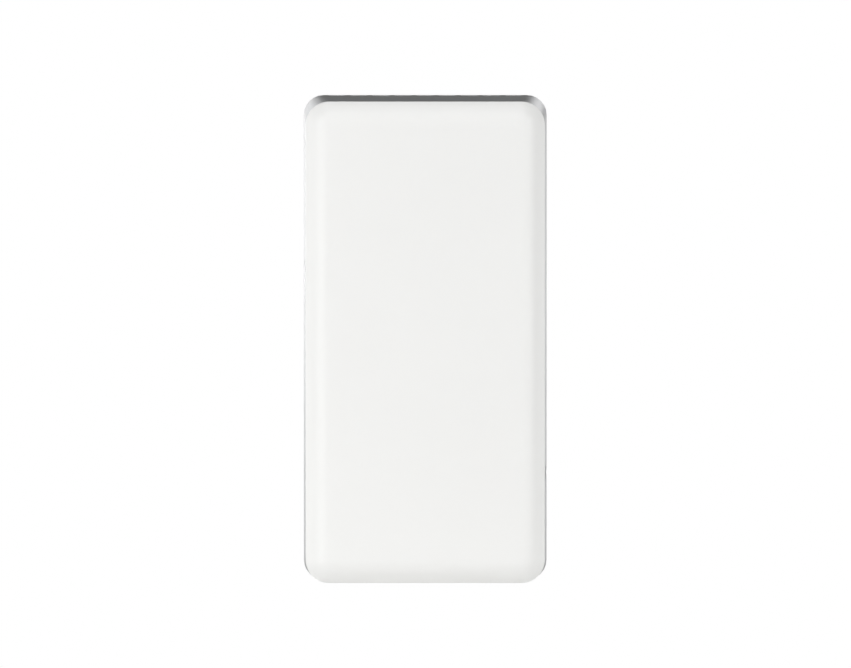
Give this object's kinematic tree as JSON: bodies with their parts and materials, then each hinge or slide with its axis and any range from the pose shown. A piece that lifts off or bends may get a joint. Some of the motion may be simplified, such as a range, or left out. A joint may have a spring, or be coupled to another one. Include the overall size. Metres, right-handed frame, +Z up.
{
  "type": "wall battery unit",
  "caption": "Tall wall-hung home battery with a white pillowed front cover on a silver-grey housing, hung on a wall bracket.",
  "frame": {"origin": "centre of the wall bracket's back face, on the wall", "axes": "+Z up, -Y out of the wall towards the front, +X to the right as seen from the front"},
  "size_m": [0.55, 0.2, 1.1],
  "materials": {
    "cover_white": "fine satin texture",
    "housing_paint": "satin silver-grey powder coat",
    "lid_sheet": "rolled sheet",
    "zinc_steel": "zinc plated",
    "bezel_metal": "turned",
    "bare_aluminium": "extruded",
    "black_moulding": "fine spark texture",
    "grey_moulding": "fine spark texture",
    "rubber": "matte",
    "cell_wrap": "blue film over an aluminium can",
    "circuit_board": "satin solder mask",
    "copper": "enamelled copper winding",
    "ceramic": "glazed ceramic",
    "brass": "turned",
    "light_guide": "translucent"
  },
  "bodies": {
    "bracket": {"wall_bracket": "zinc_steel"},
    "unit": {"rear_housing": "housing_paint", "lid_gasket": "rubber", "heat_sink": "bare_aluminium", "button_bezel": "bezel_metal", "button_light_ring": "light_guide", "gland_power": "black_moulding", "gland_comms": "black_moulding", "breather_valve": "black_moulding", "battery_tray": "zinc_steel", "bms_board": "circuit_board", "contactor": "black_moulding", "main_fuse": "ceramic", "power_board": "circuit_board", "control_board": "circuit_board", "capacitor_bank": "black_moulding", "bay_divider": "zinc_steel", "din_rail": "zinc_steel", "breaker_body": "grey_moulding", "ac_terminal_block": "grey_moulding", "ground_stud": "brass", "tie_strap_lower": "zinc_steel", "tie_strap_upper": "zinc_steel", "busbar_carrier_lower": "black_moulding", "busbar_carrier_upper": "black_moulding", "hook_left": "zinc_steel", "hook_right": "zinc_steel", "bumper_left": "rubber", "bumper_right": "rubber", "blower_left": "black_moulding", "blower_right": "black_moulding", "grip_cup_left": "black_moulding", "grip_cup_right": "black_moulding", "inductor_left": "copper", "inductor_right": "copper", "end_plate_left": "bare_aluminium", "end_plate_right": "bare_aluminium", "cell_01": "cell_wrap", "cell_02": "cell_wrap", "cell_03": "cell_wrap", "cell_04": "cell_wrap", "cell_05": "cell_wrap", "cell_06": "cell_wrap", "cell_07": "cell_wrap", "cell_08": "cell_wrap", "cell_09": "cell_wrap", "cell_10": "cell_wrap", "cell_11": "cell_wrap", "cell_12": "cell_wrap", "cell_13": "cell_wrap", "cell_14": "cell_wrap", "cell_15": "cell_wrap", "cell_16": "cell_wrap"},
    "lid": {"service_lid": "lid_sheet"},
    "cover": {"front_cover": "cover_white"},
    "power_button": {"power_button": "black_moulding"},
    "breaker_lever": {"breaker_lever": "black_moulding"},
    "impeller_left": {"impeller_left": "grey_moulding"},
    "impeller_right": {"impeller_right": "grey_moulding"}
  },
  "joints": [
    {"name": "unit_lift", "type": "slide", "parent": "bracket", "child": "unit", "axis": [0, 0, 1], "range_m": [0, 0.03]},
    {"name": "lid_pull", "type": "slide", "parent": "unit", "child": "lid", "axis": [0, -1, 0], "range_m": [0, 0.15]},
    {"name": "cover_pull", "type": "slide", "parent": "lid", "child": "cover", "axis": [0, -1, 0], "range_m": [0, 0.15]},
    {"name": "power_button_press", "type": "slide", "parent": "unit", "child": "power_button", "axis": [-1, 0, 0], "range_m": [0, 0.002], "stiffness_N_per_m": 800},
    {"name": "breaker_toggle", "type": "hinge", "parent": "unit", "child": "breaker_lever", "pos_m": [-0.102, -0.108, -0.7635], "axis": [1, 0, 0], "range_deg": [0, 70]},
    {"name": "impeller_left_spin", "type": "hinge", "parent": "unit", "child": "impeller_left", "pos_m": [-0.075, -0.024, -0.33], "axis": [0, 1, 0], "continuous": true},
    {"name": "impeller_right_spin", "type": "hinge", "parent": "unit", "child": "impeller_right", "pos_m": [0.075, -0.024, -0.33], "axis": [0, 1, 0], "continuous": true}
  ]
}
